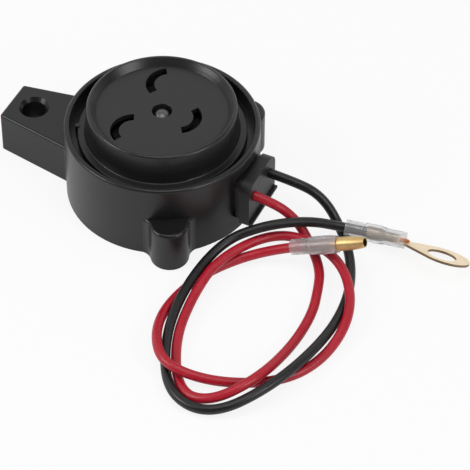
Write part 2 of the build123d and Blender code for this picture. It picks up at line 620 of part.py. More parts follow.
# --- ring terminal ----------------------------------------------------------------------------------
RING_ROLL = 31.5               # degrees, far side down
RING_EYE = (17.9, -0.5)        # from the end of the insulation, along the terminal and across it
RING_EYE_RADIUS = 4.2
RING_HEAD_MIDDLE = 18.5
RING_HEAD_LENGTH, RING_HEAD_WIDTH = 14.8, 13.2
RING_THICKNESS = 0.7
RING_BARREL_LENGTH = 5.2
RING_BARREL_RADIUS = 1.3       # barrel pressed on the conductor
RING_CRIMP = 4.2               # insulation that the barrel grips
RING_NECK = 1.4                # half-width
RING_NECK_START, RING_NECK_END = 4.3, 6.8
RING_SLEEVE_BEFORE = 10.6      # sleeve before and past the end of the insulation
RING_SLEEVE_LENGTH = 17.4


def ring_plane():
    """Frame of the ring terminal: X along it from the end of the insulation, Z square to its sheet."""
    side = Vector(0, 0, 1).cross(RING_DIRECTION).normalized()
    up = RING_DIRECTION.cross(side)
    square = up * cos(radians(RING_ROLL)) + side * sin(radians(RING_ROLL))
    return Plane(origin=RING_WIRE_END, x_dir=RING_DIRECTION, z_dir=square)


def ring_terminal():
    """Stamped ring with a neck, and a crimp barrel that stands a little above its sheet."""
    cheek_x = RING_HEAD_MIDDLE - 0.3 * RING_HEAD_LENGTH
    cheek = 0.4 * RING_HEAD_WIDTH
    sheet = make_face(Polyline(
        (RING_NECK_START, -RING_NECK), (RING_NECK_END, -RING_NECK), (cheek_x, -cheek), (cheek_x, cheek),
        (RING_NECK_END, RING_NECK), (RING_NECK_START, RING_NECK), close=True))
    sheet += Pos(RING_HEAD_MIDDLE, 0) * Ellipse(RING_HEAD_LENGTH / 2, RING_HEAD_WIDTH / 2)
    sheet -= Pos(*RING_EYE) * Circle(RING_EYE_RADIUS)
    plate = Pos(0, 0, -RING_THICKNESS / 2) * extrude(sheet, RING_THICKNESS)
    barrel = turned([
        (0, CONDUCTOR_BARED), (CONDUCTOR_RADIUS, CONDUCTOR_BARED), (CONDUCTOR_RADIUS, 0), (CRIMP_BORE_RADIUS, 0),
        (CRIMP_BORE_RADIUS, -RING_CRIMP), (CRIMP_RADIUS, -RING_CRIMP), (CRIMP_RADIUS, -0.6),
        (RING_BARREL_RADIUS, 0.8), (RING_BARREL_RADIUS, RING_BARREL_LENGTH), (0, RING_BARREL_LENGTH)])
    return ring_plane().location * plate + along(RING_WIRE_END, BARREL_DIRECTION, barrel)


def ring_sleeve():
    """Clear thin sleeve, open at both ends, stepped and fuller over the crimp that holds it."""
    before, length = RING_SLEEVE_BEFORE, RING_SLEEVE_LENGTH
    body = turned([
        (2.05, 0), (2.35, 0), (2.4, 5.4), (2.65, 5.7), (2.7, 9.6), (2.4, 11.8), (2.35, length), (2.05, length),
        (2.05, 11.8), (SLEEVE_BORE_RADIUS, before - 0.4), (SLEEVE_BORE_RADIUS, 6.2), (2.05, 5.6)])
    return along(Vector(*RING_WIRE_END) - BARREL_DIRECTION * before, BARREL_DIRECTION, body)


# --- all pieces -------------------------------------------------------------------------------------
for make in (housing, rear_cover, rear_cover_screws, rear_seal, magnet_yoke, pole_core, coil_bobbin,
             coil_winding, coil_leads, circuit_board, board_screws, oscillator_chip, power_transistor,
             filter_capacitor, protection_diode, resistors, diaphragm_gasket, diaphragm, armature,
             shaft_spacer, tone_disc, dome_nut, sound_cover, cable_grommet, black_wire, red_wire,
             bullet_terminal, bullet_sleeve, ring_terminal, ring_sleeve):
    save(make(), make.__name__)
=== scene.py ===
import bpy
import bmesh
from math import cos, radians, sin
from mathutils import Matrix, Vector


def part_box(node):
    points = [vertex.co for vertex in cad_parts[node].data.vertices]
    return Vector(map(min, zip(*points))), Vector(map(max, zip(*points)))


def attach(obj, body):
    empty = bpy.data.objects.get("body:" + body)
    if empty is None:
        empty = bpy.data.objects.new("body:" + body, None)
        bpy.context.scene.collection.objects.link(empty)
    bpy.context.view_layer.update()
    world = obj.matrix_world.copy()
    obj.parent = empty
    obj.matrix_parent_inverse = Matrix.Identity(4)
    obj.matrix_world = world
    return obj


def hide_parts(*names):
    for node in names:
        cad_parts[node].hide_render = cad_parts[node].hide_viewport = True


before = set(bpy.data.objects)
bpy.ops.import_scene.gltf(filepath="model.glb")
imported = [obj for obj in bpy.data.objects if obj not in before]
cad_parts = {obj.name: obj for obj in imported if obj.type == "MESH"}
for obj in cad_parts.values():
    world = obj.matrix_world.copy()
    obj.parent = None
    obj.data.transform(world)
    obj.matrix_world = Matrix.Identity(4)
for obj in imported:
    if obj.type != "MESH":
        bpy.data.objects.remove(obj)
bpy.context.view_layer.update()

MM = 0.001


# --- viewpoint --------------------------------------------------------------------------------------
# A long lens looking down at the alarm from its front right, with the two leads towards the viewer.
camera_data = bpy.data.cameras.new("viewpoint")
camera_data.lens = 200
camera_data.sensor_width = 36
camera_data.clip_start, camera_data.clip_end = 0.05, 20
camera = bpy.data.objects.new("viewpoint", camera_data)
bpy.context.scene.collection.objects.link(camera)
bpy.context.scene.camera = camera

stand = Vector((246.34, -478.83, 533.77)) * MM
aim = Vector((32.45, -20.15, 12.0)) * MM
TILT = radians(0.481)
forward = (aim - stand).normalized()
level = forward.cross(Vector((0, 0, 1))).normalized()
upward = level.cross(forward)
right = level * cos(TILT) + upward * sin(TILT)
upward = upward * cos(TILT) - level * sin(TILT)
camera.matrix_world = Matrix((
    (right.x, upward.x, -forward.x, stand.x),
    (right.y, upward.y, -forward.y, stand.y),
    (right.z, upward.z, -forward.z, stand.z),
    (0, 0, 0, 1)))


# --- the two leads ----------------------------------------------------------------------------------
# Stranded copper wire under extruded PVC, 2.8 mm across, with a satin skin and a little chalk. Each
# lead leaves the grommet straight, drops to the surface and lies in loose crossing loops. The black one
# ends in the ring and the red one in the bullet.
class Field:
    """A value in a node tree. Arithmetic on it adds the Math nodes."""

    def __init__(self, wiring, socket):
        self.wiring = wiring
        self.socket = socket

    def math(self, operation, *others):
        return self.wiring.node("ShaderNodeMath", {"operation": operation}, (self, *others))

    def __add__(self, other):
        return self.math("ADD", other)

    __radd__ = __add__

    def __mul__(self, other):
        return self.math("MULTIPLY", other)

    __rmul__ = __mul__

    def __sub__(self, other):
        return self.math("SUBTRACT", other)

    def __rsub__(self, other):
        return self.wiring.node("ShaderNodeMath", {"operation": "SUBTRACT"}, (other, self))

    def __truediv__(self, other):
        return self.math("DIVIDE", other)

    def __pow__(self, other):
        return self.math("POWER", other)

    def above(self, edge, soft):
        """0 below the edge, 1 above it, with a soft step between."""
        return ((self - (edge - soft)) / (2 * soft)).math("MAXIMUM", 0.0).math("MINIMUM", 1.0)

    def distance_from(self, other):
        return (self - other).math("ABSOLUTE")


class Wiring:
    """A node tree, emptied and ready to build."""

    def __init__(self, tree):
        self.tree = tree
        self.tree.nodes.clear()

    def node(self, kind, settings, inputs, output=0):
        """Adds a node: its settings first, then its inputs as values or links."""
        made = self.tree.nodes.new(kind)
        for key, value in settings.items():
            setattr(made, key, value)
        pairs = inputs.items() if isinstance(inputs, dict) else enumerate(inputs)
        for key, value in pairs:
            self.feed(made.inputs[key], value)
        return Field(self, made.outputs[output] if made.outputs else None)

    def feed(self, socket, value):
        if isinstance(value, Field):
            self.tree.links.new(value.socket, socket)
        elif socket.type == "RGBA" and len(value) == 3:
            socket.default_value = (*value, 1)
        else:
            socket.default_value = value

    def vector(self, operation, first, second, output="Value"):
        """One Vector Math node. Its Value is a dot product's answer."""
        return self.node("ShaderNodeVectorMath", {"operation": operation}, (first, second), output)

    def blend(self, share, first, second):
        """Colour between two colours."""
        mix = self.tree.nodes.new("ShaderNodeMix")
        mix.data_type = "RGBA"
        self.feed(mix.inputs["Factor"], share)
        self.feed(mix.inputs[6], first)
        self.feed(mix.inputs[7], second)
        return Field(self, mix.outputs[2])


class Finish(Wiring):
    """One procedural finish, built round a Principled shader."""

    def __init__(self, name, **constants):
        self.material = bpy.data.materials.new(name)
        self.material.use_nodes = True
        super().__init__(self.material.node_tree)
        self.shader = self.tree.nodes.new("ShaderNodeBsdfPrincipled")
        output = self.tree.nodes.new("ShaderNodeOutputMaterial")
        self.tree.links.new(self.shader.outputs[0], output.inputs["Surface"])
        for socket, value in constants.items():
            self.shader.inputs[socket.replace("_", " ")].default_value = value
        self.place = self.node("ShaderNodeTexCoord", {}, {}, output="Object")

    def noise(self, size, detail=2.0, rough=0.5, stretch=None):
        """Noise whose patches are about this size in metres, 0 to 1."""
        place = self.place
        if stretch:
            place = self.node("ShaderNodeMapping", {}, {"Vector": place, "Scale": stretch})
        return self.node("ShaderNodeTexNoise", {"noise_dimensions": "3D"}, {
            "Vector": place, "Scale": 1 / size, "Detail": detail, "Roughness": rough})

    def axis(self, name):
        """One coordinate, in metres."""
        return self.node("ShaderNodeSeparateXYZ", {}, {"Vector": self.place}, output=name)

    def surface(self, colour, roughness, height, depth, **others):
        """Feeds what varies over the surface. height is in 0 to 1 and depth its size in metres."""
        bump = self.node("ShaderNodeBump", {}, {"Height": height, "Distance": depth, "Strength": 1.0})
        self.feed(self.shader.inputs["Base Color"], colour)
        self.feed(self.shader.inputs["Roughness"], roughness)
        self.feed(self.shader.inputs["Normal"], bump)
        for socket, value in others.items():
            self.feed(self.shader.inputs[socket.replace("_", " ")], value)
        return self.material


def insulation(name, colour, pale, dark):
    """PVC skin: patches where it has been handled, a fine drawn grain and faint chalk."""
    finish = Finish(name, IOR=1.5)
    patches = finish.noise(14 * MM, 3)
    grain = finish.noise(0.35 * MM, 4, 0.6)
    chalk = finish.noise(3 * MM, 6, 0.7).above(0.62, 0.12)
    body = finish.blend(patches, dark, colour)
    skin = finish.blend(chalk * 0.3, body, pale)
    return finish.surface(skin, 0.30 + patches * 0.1 + chalk * 0.12 + grain * 0.05,
                          grain * 0.6 + patches * 0.4, 0.01 * MM)


WIRE_RADIUS = 1.4 * MM
EXIT_X, EXIT_Y, EXIT_Z = 31.4, 5.0, 13.6


def pointing(heading, pitch):
    """Unit vector from its bearing about Z and its rise, in degrees."""
    flat = cos(radians(pitch))
    return Vector((flat * cos(radians(heading)), flat * sin(radians(heading)), sin(radians(pitch))))


RING_WIRE_END = Vector((67.3, 3.2, 5.7))
BARREL_DIRECTION = pointing(9.1, -0.7)
BULLET_START = Vector((45.7, -12.6, 6.0))
BULLET_DIRECTION = pointing(5.9, 23.7)
BULLET_WIRE_END = BULLET_START + BULLET_DIRECTION * 7.0

BLACK_ROUTE = [
    (22.5, 5, 13.6), (40, 5, 13.6), (47.8, 6.4, 9.3), (54.6, 4.1, 1.7), (62.4, -6.4, 1.4), (67.2, -19.8, 1.4),
    (68.1, -37.4, 3.3), (63, -60, 5.1), (51.5, -75, 2.4), (37.5, -73, 2), (28, -56, 2.2), (25, -37.5, 3.9),
    (27.7, -18.5, 5.8), (36.9, -10.8, 9.1), (47, -2.7, 8.2), tuple(RING_WIRE_END - BARREL_DIRECTION * 10.5),
    tuple(RING_WIRE_END)]
RED_ROUTE = [
    (22.5, -5, 13.6), (36.4, -5, 13.6), (43.3, -2, 6.2), (49.6, -5.5, 1.4), (55.5, -12.9, 1.4),
    (57.9, -19.6, 1.4), (60.7, -30, 2.2), (60.2, -42.9, 1.4), (58.7, -61.5, 7.1), (49.5, -71.5, 3.4),
    (39.5, -70.5, 1.4), (30.5, -54.5, 1.4), (28.2, -38.8, 2.9), (29.4, -24.8, 5.5), (38.3, -8, 4.3),
    (51, -6.6, 5.2), (63, -12.2, 5), (71, -26, 4.1), (70.5, -41.5, 1.4), (63.5, -55, 1.4), (48, -64.5, 2.9),
    (33.5, -67, 5.7), (25.5, -57, 4.2), (22.5, -43, 1.6), (27, -26.5, 1.4),
    tuple(BULLET_WIRE_END - BULLET_DIRECTION * 13.0), tuple(BULLET_WIRE_END)]


def lead(name, route, material):
    """A free wire: one smooth spline through its route, with a round section."""
    data = bpy.data.curves.new(name, "CURVE")
    data.dimensions = "3D"
    spline = data.splines.new("NURBS")
    spline.points.add(len(route) - 1)
    for point, place in zip(spline.points, route):
        point.co = (*(Vector(place) * MM), 1)
    spline.order_u = 3
    spline.use_endpoint_u = True
    spline.resolution_u = 14
    data.bevel_depth = WIRE_RADIUS
    data.bevel_resolution = 8
    data.use_fill_caps = True
    data.materials.append(material)
    piece = bpy.data.objects.new(name, data)
    bpy.context.scene.collection.objects.link(piece)
    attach(piece, "root")
    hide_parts(name.replace("_lead", ""))
    return piece


black_pvc = insulation("black_pvc", (0.006, 0.0062, 0.0066), (0.024, 0.025, 0.025), (0.0042, 0.0044, 0.0047))
red_pvc = insulation("red_pvc", (0.46, 0.005, 0.022), (0.55, 0.04, 0.06), (0.36, 0.003, 0.015))
black_lead = lead("black_wire_lead", BLACK_ROUTE, black_pvc)
red_lead = lead("red_wire_lead", RED_ROUTE, red_pvc)


# --- housing ----------------------------------------------------------------------------------------
# Injection-moulded black nylon in one piece with its mounting ear and two side bosses. The skin is
# satin from a sparked mould, a little smoother where edges have been rubbed. Its edges are painted
# paler, partly as that wear and partly as a painted sheen.
def edges_of(finish, radius):
    """0 on open faces, rising to 1 along corners of about this radius."""
    rounded = finish.node("ShaderNodeBevel", {"samples": 6}, {"Radius": radius})
    true = finish.node("ShaderNodeNewGeometry", {}, {}, output="Normal")
    return (1 - finish.vector("DOT_PRODUCT", rounded, true)).above(0.06, 0.055)


def moulded_black(name, tone, gloss, grain_depth):
    """Satin black plastic with spark grain, handling patches, fine scuffs, and edges painted paler: partly
    rubbed wear, partly a painted sheen.
    """
    finish = Finish(name, IOR=1.46)
    grain = finish.noise(0.28 * MM, 3, 0.65)
    patches = finish.noise(11 * MM, 4, 0.55)
    scuffs = finish.noise(1.1 * MM, 5, 0.7, stretch=(1.0, 0.18, 0.6)).above(0.70, 0.06)
    # edges painted paler: partly rubbed wear, partly a painted sheen along them
    edge_wear_and_sheen = edges_of(finish, 0.35 * MM) * finish.noise(2.5 * MM, 4).above(0.42, 0.2)
    dark = tuple(0.72 * c for c in tone)
    pale = tuple(2.4 * c + 0.006 for c in tone)
    body = finish.blend(patches, dark, tone)
    body = finish.blend(scuffs * 0.3 + edge_wear_and_sheen * 0.45, body, pale)
    return finish.surface(body, gloss + patches * 0.06 + scuffs * 0.1 - edge_wear_and_sheen * 0.04,
                          grain * 0.8 + scuffs * 0.2, grain_depth)


def dress(names, material):
    """Gives CAD nodes their finish through their own material slots."""
    for name in names:
        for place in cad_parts[name].material_slots:
            place.material = material


dress(["housing"], moulded_black("case_black", (0.0105, 0.0107, 0.011), 0.28, 0.008 * MM))


# --- rear cover, seal and screws --------------------------------------------------------------------
# A flat black disc moulded with a round seat for the magnet. It closes the back on a soft seal ring
# and is held by three zinc-plated self-tapping screws, sunk flush.
dress(["rear_cover"], moulded_black("rear_cover_black", (0.0065, 0.0067, 0.007), 0.32, 0.02 * MM))


def soft_rubber(name, tone, gloss):
    """Matt rubber: bloom in soft patches over a fine pitted skin."""
    finish = Finish(name, IOR=1.5)
    bloom = finish.noise(4 * MM, 5, 0.6)
    pits = finish.noise(0.22 * MM, 3, 0.7)
    pale = tuple(1.5 * c + 0.004 for c in tone)
    worn = edges_of(finish, 0.3 * MM)
    body = finish.blend(bloom.above(0.55, 0.2) * 0.5 + worn * 0.25, tone, pale)
    return finish.surface(body, gloss + bloom * 0.14, pits * 0.7 + bloom * 0.3, 0.018 * MM)


dress(["rear_seal", "diaphragm_gasket"], soft_rubber("seal_black", (0.018, 0.018, 0.019), 0.62))


def plated_metal(name, bright, dull, gloss, streak=(1.0, 1.0, 1.0)):
    """Plated or bright metal: faint tarnish, fine tool marks and corners rubbed brighter."""
    finish = Finish(name, Metallic=1.0)
    tarnish = finish.noise(3.5 * MM, 5, 0.65)
    marks = finish.noise(0.5 * MM, 4, 0.6, stretch=streak)
    edge_wear_and_sheen = edges_of(finish, 0.18 * MM)
    body = finish.blend(tarnish.above(0.56, 0.16) * 0.6, bright, dull)
    body = finish.blend(edge_wear_and_sheen * 0.4, body, tuple(min(1.0, 1.1 * c) for c in bright))
    return finish.surface(body, gloss + tarnish * 0.14 + marks * 0.1, marks, 0.006 * MM)


zinc_plate = plated_metal("zinc_plate", (0.62, 0.63, 0.66), (0.42, 0.43, 0.46), 0.26)


class Shaping(Wiring):
    """A geometry tree with named sizes, run once to leave a plain mesh."""

    def __init__(self, name, **sizes):
        super().__init__(bpy.data.node_groups.new(name, "GeometryNodeTree"))
        self.sizes = sizes
        self.tree.interface.new_socket("Shape", in_out="OUTPUT", socket_type="NodeSocketGeometry")
        for size, value in sizes.items():
            kind = "NodeSocketInt" if isinstance(value, int) else "NodeSocketFloat"
            self.tree.interface.new_socket(size, in_out="INPUT", socket_type=kind)
        self.entry = self.tree.nodes.new("NodeGroupInput")

    def __getitem__(self, size):
        return Field(self, self.entry.outputs[size])

    def point(self, x=0.0, y=0.0, z=0.0):
        return self.node("ShaderNodeCombineXYZ", {}, (x, y, z))

    def join(self, *shapes):
        """Several shapes as one."""
        joined = self.tree.nodes.new("GeometryNodeJoinGeometry")
        for shape in reversed(shapes):
            self.tree.links.new(shape.socket, joined.inputs[0])
        return Field(self, joined.outputs[0])

    def moved(self, shape, place=(0, 0, 0), turn=(0, 0, 0)):
        return self.node("GeometryNodeTransform", {}, {
            "Geometry": shape, "Translation": place, "Rotation": turn})

    def piece(self, name, shape, material, slot, *nodes):
        """Makes the mesh and its object, and lets it stand for CAD nodes."""
        real = self.node("GeometryNodeRealizeInstances", {}, {"Geometry": shape})
        real = self.node("GeometryNodeSetMaterial", {}, {"Geometry": real, "Material": material})
        self.node("NodeGroupOutput", {}, {"Shape": real})
        piece = bpy.data.objects.new(name, bpy.data.meshes.new(name))
        bpy.context.scene.collection.objects.link(piece)
        maker = piece.modifiers.new("shape", "NODES")
        maker.node_group = self.tree
        for item in self.tree.interface.items_tree:
            if item.in_out == "INPUT":
                maker[item.identifier] = self.sizes[item.name]
        graph = bpy.context.evaluated_depsgraph_get()
        mesh = bpy.data.meshes.new_from_object(piece.evaluated_get(graph), depsgraph=graph)
        piece.modifiers.remove(maker)
        closed = bmesh.new()
        closed.from_mesh(mesh)
        bmesh.ops.remove_doubles(closed, verts=closed.verts, dist=0.0001 * MM)
        bmesh.ops.recalc_face_normals(closed, faces=closed.faces)
        closed.to_mesh(mesh)
        closed.free()
        piece.data = mesh
        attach(piece, "root")
        if nodes:
            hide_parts(*nodes)
        return piece


def screws(name, node, head_top, recess_bars, **sizes):
    """Screws on a circle, heads down: core, rolled thread, head, and a recess of one bar or two."""
    shape = Shaping(name, **sizes)
    shank, root, length = shape["shank"], shape["root"], shape["length"]
    head, head_height = shape["head"], shape["head_height"]
    inside_head, threaded = head_height * 0.5, length - head_height - 0.3 * MM
    core = shape.node("GeometryNodeMeshCylinder", {}, {
        "Vertices": 24, "Radius": root, "Depth": length - inside_head})
    core = shape.moved(core, shape.point(z=(length + inside_head) * 0.5))
    coil = shape.node("GeometryNodeCurveSpiral", {}, {
        "Resolution": 20, "Rotations": threaded / shape["pitch"], "Start Radius": root, "End Radius": root,
        "Height": threaded})
    ridge = shape.node("GeometryNodeCurvePrimitiveCircle", {"mode": "RADIUS"}, {
        "Resolution": 3, "Radius": shank - root})
    thread = shape.node("GeometryNodeCurveToMesh", {}, {
        "Curve": coil, "Profile Curve": ridge, "Fill Caps": True})
    thread = shape.moved(thread, shape.point(z=head_height))
    cap = shape.node("GeometryNodeMeshCone", {}, {
        "Vertices": 40, "Radius Top": shape[head_top], "Radius Bottom": head, "Depth": head_height})
    bar = shape.node("GeometryNodeMeshCube", {}, {
        "Size": shape.point(shape["recess_length"], shape["recess_width"], shape["recess_depth"] * 2)})
    for quarter in range(recess_bars):
        cap = shape.node("GeometryNodeMeshBoolean", {"operation": "DIFFERENCE"}, {
            "Mesh 1": cap, "Mesh 2": shape.moved(bar, turn=(0, 0, radians(90 * quarter)))})
    circle = shape.node("GeometryNodeMeshCircle", {}, {"Vertices": shape["count"], "Radius": shape["reach"]})
    places = shape.moved(circle, shape.point(z=shape["base"]), shape.point(z=shape["first"]))
    all_of_them = shape.node("GeometryNodeInstanceOnPoints", {}, {
        "Points": places, "Instance": shape.join(core, thread, cap)})
    return shape.piece(name, all_of_them, zinc_plate, "screw_steel", node)


cover_low, cover_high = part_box("rear_cover_screws")
screws("cover_screws", "rear_cover_screws", "shank", 2, count=3, reach=21.5 * MM, first=radians(90),
       base=cover_low.z, shank=1.3 * MM, root=1.0 * MM, length=cover_high.z - cover_low.z, pitch=1.1 * MM,
       head=2.6 * MM, head_height=1.3 * MM, recess_length=2.9 * MM, recess_width=0.6 * MM,
       recess_depth=1.0 * MM)


# --- magnet, bobbin and coil ------------------------------------------------------------------------
# A turned steel yoke with a pressed-in core pulls the diaphragm. Its coil is enamelled copper wire on
# a nylon bobbin, and two ends of that wire run up to the board.
dress(["magnet_yoke", "pole_core", "armature", "shaft_spacer"],
      plated_metal("nickel_plate", (0.60, 0.58, 0.54), (0.44, 0.42, 0.38), 0.22, streak=(0.15, 0.15, 2.0)))


def nylon(name, tone):
    """Natural nylon: milky, slightly uneven, with a faint flow pattern."""
    finish = Finish(name, IOR=1.53, Subsurface_Weight=0.15, Subsurface_Scale=0.6 * MM)
    flow = finish.noise(5 * MM, 4, 0.5, stretch=(1, 1, 3))
    grain = finish.noise(0.3 * MM, 2)
    body = finish.blend(flow, tone, tuple(0.8 * c for c in tone))
    return finish.surface(body, 0.38 + flow * 0.12, grain, 0.01 * MM)


dress(["coil_bobbin"], nylon("bobbin_nylon", (0.74, 0.70, 0.60)))


def enamelled_copper(name):
    """Copper under clear red-brown enamel, deeper where the coat is thick."""
    finish = Finish(name, Metallic=1.0, Coat_Roughness=0.08)
    coat = finish.noise(1.6 * MM, 4, 0.6)
    body = finish.blend(coat, (0.72, 0.26, 0.10), (0.48, 0.13, 0.05))
    return finish.surface(body, 0.22 + coat * 0.12, finish.noise(0.15 * MM, 2), 0.004 * MM, Coat_Weight=0.7)


copper_wire = enamelled_copper("enamelled_copper")
dress(["coil_leads"], copper_wire)

# the outermost layer of the winding, turn by turn, over the layers below it
winding_low, winding_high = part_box("coil_winding")
coil = Shaping("coil_turns", wire=0.175 * MM, reach=winding_high.x, hub=4.4 * MM,
               bottom=winding_low.z, height=winding_high.z - winding_low.z)
wire, rise = coil["wire"], coil["height"]
turns = coil.node("GeometryNodeCurveSpiral", {}, {
    "Resolution": 72, "Rotations": (rise - wire * 2) / (wire * 2), "Start Radius": coil["reach"] - wire,
    "End Radius": coil["reach"] - wire, "Height": rise - wire * 2})
strand = coil.node("GeometryNodeCurvePrimitiveCircle", {"mode": "RADIUS"}, {"Resolution": 8, "Radius": wire})
turns = coil.node("GeometryNodeCurveToMesh", {}, {"Curve": turns, "Profile Curve": strand, "Fill Caps": True})
turns = coil.moved(turns, coil.point(z=coil["bottom"] + wire))
inner_reach = coil["reach"] - wire * 1.3
below = coil.node("GeometryNodeCurvePrimitiveCircle", {"mode": "RADIUS"}, {
    "Resolution": 72, "Radius": (inner_reach + coil["hub"]) * 0.5})
section = coil.node("GeometryNodeCurvePrimitiveQuadrilateral", {"mode": "RECTANGLE"}, {
    "Width": inner_reach - coil["hub"], "Height": rise})
below = coil.node("GeometryNodeCurveToMesh", {}, {"Curve": below, "Profile Curve": section})
below = coil.moved(below, coil.point(z=coil["bottom"] + rise * 0.5))
coil.piece("coil_turns", coil.join(turns, below), copper_wire, "enamelled_copper", "coil_winding")


# --- circuit board ----------------------------------------------------------------------------------
# A ring of glass-fibre laminate under green solder mask, held to lugs in the housing by three slotted
# screws. It carries the oscillator, the coil's transistor, a capacitor, a diode and six resistors.
board_low, board_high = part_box("board_screws")
screws("slotted_screws", "board_screws", "head", 1, count=3, reach=21.6 * MM, first=radians(30),
       base=board_low.z, shank=1.0 * MM, root=0.78 * MM, length=board_high.z - board_low.z, pitch=0.8 * MM,
       head=1.9 * MM, head_height=1.3 * MM, recess_length=5.0 * MM, recess_width=0.5 * MM,
       recess_depth=0.9 * MM)


def laminate(name):
    """Green mask over copper arcs, with bare yellow laminate on the cut edge."""
    finish = Finish(name, IOR=1.5)
    across, along, height = finish.axis("X"), finish.axis("Y"), finish.axis("Z")
    reach = (across * across + along * along) ** 0.5
    bearing = along.math("ARCTAN2", across)
    low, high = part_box("circuit_board")
    mask = finish.noise(6 * MM, 4)
    weave = finish.noise(0.35 * MM, 2)
    track = 0.0
    for radius, start in ((13.5, -0.6), (15.2, 0.5), (19.2, 1.2), (20.8, -2.0), (22.2, 2.1)):
        line = 1 - reach.distance_from(radius * MM).above(0.4 * MM, 0.1 * MM)
        track = line * (bearing - start).math("SINE").above(0.05, 0.02) + track
    green = finish.blend(mask, (0.012, 0.13, 0.045), (0.02, 0.18, 0.07))
    green = finish.blend(track * 0.7, green, (0.06, 0.30, 0.11))
    face = height.distance_from((low.z + high.z) / 2).above(0.74 * MM, 0.02 * MM)
    return finish.surface(finish.blend(face, (0.42, 0.38, 0.20), green), 0.28 + mask * 0.1,
                          track * 0.7 + weave * 0.3, 0.02 * MM)


dress(["circuit_board"], laminate("green_laminate"))


def component_black(name):
    """Filled epoxy body: dead black, faintly mottled and dusty."""
    finish = Finish(name, IOR=1.52)
    mottle = finish.noise(0.9 * MM, 5, 0.7)
    body = finish.blend(mottle, (0.012, 0.012, 0.013), (0.035, 0.034, 0.033))
    return finish.surface(body, 0.5 + mottle * 0.15, finish.noise(0.12 * MM, 2), 0.01 * MM)


dress(["oscillator_chip", "power_transistor", "protection_diode"], component_black("component_black"))


def sleeved_can(name):
    """Capacitor in a dark blue shrink sleeve with a pale stripe, its top bare aluminium."""
    finish = Finish(name, IOR=1.5)
    low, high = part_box("filter_capacitor")
    centre = (low + high) / 2
    bearing = (finish.axis("Y") - centre.y).math("ARCTAN2", finish.axis("X") - centre.x)
    haze = finish.noise(1.2 * MM, 4)
    stripe = bearing.math("COSINE").above(0.86, 0.02)
    sleeve = finish.blend(haze, (0.012, 0.02, 0.07), (0.02, 0.03, 0.10))
    sleeve = finish.blend(stripe, sleeve, (0.62, 0.64, 0.66))
    reach = ((finish.axis("X") - centre.x) ** 2 + (finish.axis("Y") - centre.y) ** 2) ** 0.5
    bare = (1 - reach.above((high.x - low.x) / 2 - 0.5 * MM, 0.1 * MM)) * (
        finish.axis("Z").distance_from(centre.z).above((high.z - low.z) / 2 - 0.2 * MM, 0.1 * MM))
    return finish.surface(finish.blend(bare, sleeve, (0.72, 0.73, 0.74)), 0.24 + haze * 0.16,
                          finish.noise(0.4 * MM, 3), 0.01 * MM, Metallic=bare)


dress(["filter_capacitor"], sleeved_can("capacitor_sleeve"))


CHIP_BEARINGS = (85, 97, -130, -118, -30, -18)
CHIP_REACH = 15.5
CHIP_BARE_HALF = 1.25


def ceramic(name):
    """Chip resistor: dark printed film on ceramic, with its two ends tinned."""
    finish = Finish(name, IOR=1.5)
    speckle = finish.noise(0.4 * MM, 4, 0.7)
    body = finish.blend(speckle, (0.03, 0.03, 0.034), (0.055, 0.055, 0.06))
    bearing = finish.axis("Y").math("ARCTAN2", finish.axis("X"))
    tinned = 1.0
    for middle in CHIP_BEARINGS:
        from_middle = bearing.distance_from(radians(middle))
        tinned = from_middle.above(CHIP_BARE_HALF / CHIP_REACH, 0.003) * tinned
    body = finish.blend(tinned, body, (0.62, 0.62, 0.64))
    return finish.surface(body, 0.32 + speckle * 0.12, speckle, 0.01 * MM, Metallic=tinned)


dress(["resistors"], ceramic("chip_resistor"))


# --- diaphragm and tone disc ------------------------------------------------------------------------
# Thin spring steel, clamped at its rim between the gasket and the sound cover. The armature below it
# and the spacer and tone disc above it ride on one shaft through its middle.
dress(["diaphragm"],
      plated_metal("spring_steel", (0.50, 0.51, 0.53), (0.36, 0.37, 0.40), 0.24, streak=(2.0, 0.2, 1.0)))
# the tone disc's near-black colour is painted shade: it keeps the slots dark, where shade falls inside the
# cover
dress(["tone_disc"], plated_metal("phosphated_steel", (0.035, 0.036, 0.038), (0.018, 0.019, 0.02), 0.5,
                                  streak=(2.0, 0.2, 1.0)))


# --- sound cover and nut ----------------------------------------------------------------------------
# The sound cover is moulded from the same black nylon, with a smoother top. Its tone is set paler than
# the case's, as a painted reflection of the bright surroundings on its top. Three curved slots let the
# sound out, and the domed nut on the shaft, in dull nickel plate, shows in the hole at the centre.
# paler tone than the case: a painted reflection of the bright surroundings
dress(["sound_cover"], moulded_black("sound_cover_black", (0.0155, 0.0158, 0.0168), 0.29, 0.006 * MM))
dress(["dome_nut"], plated_metal("dark_nickel", (0.15, 0.15, 0.15), (0.1, 0.1, 0.1), 0.26))


# --- cable grommet ----------------------------------------------------------------------------------
# Moulded rubber, pushed through the flat of the housing wall and held by a lip inside. It is a little
# darker and more matt than the case.
dress(["cable_grommet"], soft_rubber("grommet_rubber", (0.008, 0.0082, 0.0085), 0.36))


